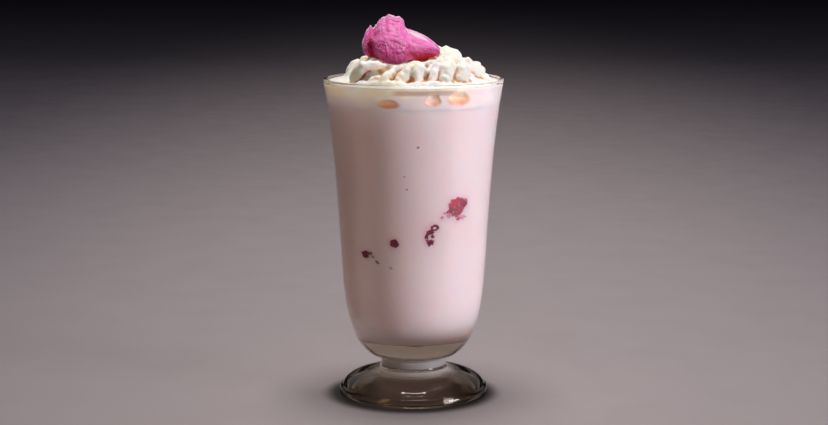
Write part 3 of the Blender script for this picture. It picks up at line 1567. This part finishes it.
    def without_crumbs(self, piece: bpy.types.Object) -> None:
        """Leaves only the largest connected part of the cream.

        Args:
            piece: The cream.
        """
        mesh = bmesh.new()
        mesh.from_mesh(piece.data)
        left = set(mesh.verts)
        parts = []
        while left:
            stack = [left.pop()]
            part = set(stack)
            while stack:
                for edge in stack.pop().link_edges:
                    for vert in edge.verts:
                        if vert not in part:
                            part.add(vert)
                            stack.append(vert)
            left -= part
            parts.append(part)
        parts.sort(key=len)
        bmesh.ops.delete(mesh, geom=[v for part in parts[:-1] for v in part], context="VERTS")
        mesh.to_mesh(piece.data)
        mesh.free()

    def pocket_depths(self, points: np.ndarray) -> tuple[np.ndarray, np.ndarray, np.ndarray]:
        """How far each point is into an air pocket, and how low in it.

        Args:
            points: Rows of x, y and z in millimetres.

        Returns:
            How stained each point is, how low it lies in its pocket, both from 0 to 1, and how far it is
            from the middle of the nearest pocket, in half widths.
        """
        near = np.full(len(points), 9.0)
        inside = np.zeros(len(points))
        low = np.zeros(len(points))
        angles = azimuths_of(points)
        reach = np.hypot(points[:, 0], points[:, 1])
        for pocket in self.pockets:
            wall = float(self.glass.wall_radius(pocket.height))
            across = turned_from(angles, pocket.azimuth) * wall / pocket.half_width
            rise = (points[:, 2] - pocket.height) / pocket.half_height
            deep = (reach - wall) / pocket.depth
            gap = np.sqrt(across ** 2 + rise ** 2 + deep ** 2)
            share = (1.0 - smoothstep(0.85, 1.5, gap)) * (1.0 - pocket.pale)
            low = np.where(share > inside, 1.0 - smoothstep(-0.95, 0.4, rise), low)
            inside = np.maximum(inside, share)
            near = np.minimum(near, gap)
        return inside, low, near

    def press_to_wall(self, piece: bpy.types.Object) -> None:
        """Presses the cream's side just into the wall, outside the air pockets, and its foot into the milk.

        Args:
            piece: The cream.
        """
        points = points_of(piece)
        reach = np.hypot(points[:, 0], points[:, 1])
        below = np.maximum(self.dive[0] - points[:, 2], 0.0)
        wall = self.glass.wall_radius(points[:, 2], self.grown) - self.dive[1] * below
        _, _, near = self.pocket_depths(points)
        side = (points[:, 2] < self.edge_height - 1.0) & (reach > wall - self.press_reach) & (near > 1.1)
        side |= (points[:, 2] < self.press_to) & (reach > wall)
        points[side, :2] *= (wall[side] / reach[side])[:, None]
        move_points(piece, points)

    def ripple(self, piece: bpy.types.Object) -> None:
        """Raises small bumps and tears on the cream's free side.

        Args:
            piece: The cream.
        """
        points = points_of(piece)
        free = smoothstep(*self.ripples_from, points[:, 2])
        swell = noise_at(points, 0.42, 3.0) * 0.34 + noise_at(points, 1.1, 7.0) * 0.1
        move_points(piece, points + normals_of(piece) * (free * swell)[:, None])

    def creases(self, piece: bpy.types.Object) -> np.ndarray:
        """How deep in a crease each vertex lies, measured against smoother and smoother copies of the mesh.

        Args:
            piece: The piece, whose mesh stays as it is.

        Returns:
            The depth at each vertex, from 0 to 1.
        """
        ends = np.empty(len(piece.data.edges) * 2, dtype=np.int32)
        piece.data.edges.foreach_get("vertices", ends)
        a, b = ends.reshape(-1, 2).T
        points = points_of(piece)
        count = np.bincount(a, minlength=len(points)) + np.bincount(b, minlength=len(points))
        smooth = points.copy()
        normal = normals_of(piece)
        depth = np.zeros(len(points))
        full = dict(self.crease_scales)
        for step in range(1, max(full) + 1):
            total = np.zeros_like(smooth)
            for k in range(3):
                total[:, k] = np.bincount(a, smooth[b, k], len(points)) + np.bincount(b, smooth[a, k], len(points))
            smooth = 0.4 * smooth + 0.6 * total / np.maximum(count, 1)[:, None]
            if step in full:
                hollow = np.einsum("ij,ij->i", smooth - points, normal)
                depth += smoothstep(0.02, full[step], hollow) / 3.0
        return np.minimum(depth, 1.0)

    def mark(self, piece: bpy.types.Object) -> None:
        """Keeps the creases, the pockets, the pink blush and how far the milk has soaked up.

        Args:
            piece: The cream.
        """
        points = points_of(piece)
        height = points[:, 2]
        angles = azimuths_of(points)
        inside, low, _ = self.pocket_depths(points)
        store(piece, "pocket", inside)
        store(piece, "pocket_low", low)
        wavy = noise_at(points, 0.17, 2.0) * 1.6 + noise_at(points, 0.55, 5.0) * 0.7
        front_right = smoothstep(-18.0, 16.0, angles) * (1.0 - smoothstep(70.0, 110.0, angles))
        rise = self.soaked_to + self.soaked_more * front_right
        soak = 1.0 - smoothstep(rise - 1.2, rise + 1.6, height + wavy)
        azimuth, middle, half_turn, half_height = self.pale_patch
        gap = np.hypot((angles - azimuth) / half_turn, (height - middle) / half_height)
        store(piece, "soak", soak * (0.2 + 0.75 * smoothstep(0.6, 1.2, gap)))
        front = smoothstep(-16.0, -9.0, angles) * (1.0 - smoothstep(24.0, 32.0, angles))
        band = smoothstep(154.6, 155.6, height) * (1.0 - smoothstep(157.2, 158.0, height))
        store(piece, "shade", self.shade_share * front * band)
        store(piece, "glow", (1.0 - smoothstep(157.5, 161.0, height)) * (1.0 - soak))
        store(piece, "crease", self.creases(piece) * smoothstep(157.8, 159.6, height))
        blush = np.zeros(len(points))
        for spot, size in self.blushes:
            away = np.linalg.norm(points - np.array(spot), axis=1)
            blush = np.maximum(blush, 1.0 - smoothstep(size * 0.2, size, away))
        store(piece, "blush", blush * self.blush_share)

    def build(self) -> bpy.types.Object:
        """Makes the cream and sets it in the place of its plain solid.

        Returns:
            The finished piece.
        """
        piece = turned("piped_cream", self.bed(), 160)
        mesh = bmesh.new()
        mesh.from_mesh(piece.data)
        self.add_rope(mesh)
        for lobe in (*self.lobes, *self.ruffles()):
            self.add_lobe(mesh, lobe)
        mesh.to_mesh(piece.data)
        mesh.free()
        self.fused(piece)
        self.lump(piece)
        for pocket in self.pockets:
            cut(piece, self.hollow(pocket))
        front, back = self.petal_gap
        fit, room = self.petal_grown
        cut(piece, self.petal.solid("petal_fit", front, back, *self.petal_grid, fit))
        cut(piece, self.petal.solid("petal_room", self.petal_room, back, *self.petal_grid, room, straight=True))
        self.fused(piece)
        self.without_crumbs(piece)
        self.press_to_wall(piece)
        self.ripple(piece)
        self.mark(piece)
        piece.data.shade_smooth()
        dress(piece, self.finish.material(), "cream", "whipped_cream")
        return piece


# ---- the studio -----------------------------------------------------------------------------------------
@dataclass(frozen=True)
class SoftBox:
    """A soft rectangular lamp that faces the drink."""

    name: str
    place: Point3
    size: Point2
    power: float
    colour: Colour = (1.0, 1.0, 1.0)
    aim: Point3 = (0.0, 0.0, 0.09)

    def light(self) -> None:
        """Hangs the lamp in its place."""
        data = bpy.data.lights.new(self.name, "AREA")
        data.shape = "RECTANGLE"
        data.size, data.size_y = self.size
        data.energy = self.power
        data.color = self.colour
        lamp = bpy.data.objects.new(self.name, data)
        lamp.location = self.place
        lamp.rotation_euler = (Vector(self.aim) - Vector(self.place)).to_track_quat("-Z", "Y").to_euler()
        bpy.context.scene.collection.objects.link(lamp)


@dataclass
class Studio:
    """The floor, the lamps and the camera."""

    floor_size: float = 18.0
    eye: Point3 = (0.00025, -0.9524, 0.2436)
    tilt_deg: float = 9.039
    lens: float = 83.27
    dusk: Colour = (0.0045, 0.0036, 0.0075)
    boxes: tuple[SoftBox, ...] = (
        SoftBox("key", (1.19, -0.57, 0.24), (0.42, 0.42), 9.6, (0.96, 0.95, 1.02)),
        SoftBox("overhead", (0.0, 0.12, 1.8), (0.7, 0.7), 30.0, (1.0, 0.965, 0.93)),
        SoftBox("front_strip", (0.0, -1.3, 1.15), (1.1, 0.04), 0.5, (1.0, 0.85, 0.7)),
        SoftBox("warm_fill", (-0.95, -0.8, 0.34), (0.3, 0.26), 0.8, (1.0, 0.62, 0.28)),
        SoftBox("back_glow", (0.0, 1.7, 1.0), (4.4, 1.0), 4.2, (1.0, 0.86, 0.8)),
    )

    def lay_floor(self) -> None:
        """Lays the floor, a fine grid that stays flat."""
        mesh = bmesh.new()
        bmesh.ops.create_grid(mesh, x_segments=24, y_segments=24, size=self.floor_size / 2)
        floor = piece_from("studio_floor", mesh)
        floor.data.materials.append(PaleFloor().material())

    def set_camera(self) -> None:
        """Sets up the camera in front of the drink, looking a little down."""
        data = bpy.data.cameras.new("view")
        data.lens = self.lens
        data.sensor_width = 36.0
        camera = bpy.data.objects.new("view", data)
        camera.location = self.eye
        camera.rotation_euler = (math.radians(90.0 - self.tilt_deg), 0.0, 0.0)
        bpy.context.scene.collection.objects.link(camera)
        bpy.context.scene.camera = camera

    def build(self) -> None:
        """Sets up the whole studio."""
        self.lay_floor()
        self.set_camera()
        for box in self.boxes:
            box.light()
        world = bpy.data.worlds.new("studio_dusk")
        world.use_nodes = True
        world.node_tree.nodes["Background"].inputs["Color"].default_value = (*self.dusk, 1.0)
        bpy.context.scene.world = world
        bpy.context.scene.view_settings.view_transform = "Standard"


def report(piece: bpy.types.Object) -> None:
    """Logs a piece's size and number of faces."""
    size = " x ".join(f"{side / MM:.1f}" for side in piece.dimensions)
    LOG.info("%s: %s mm, %d faces", piece.name, size, len(piece.data.polygons))


def main() -> None:
    """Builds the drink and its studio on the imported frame."""
    logging.basicConfig(level=logging.INFO, format="%(name)s: %(message)s")
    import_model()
    glass = FootedGlass()
    bits = PressedBits(glass)
    petal = RosePetal()
    report(glass.build())
    report(Milkshake(glass, bits).build())
    for piece in bits.build():
        report(piece)
    report(petal.build())
    report(WhippedCream(glass, petal).build())
    Studio().build()
    bpy.context.view_layer.update()


if __name__ == "__main__":
    main()
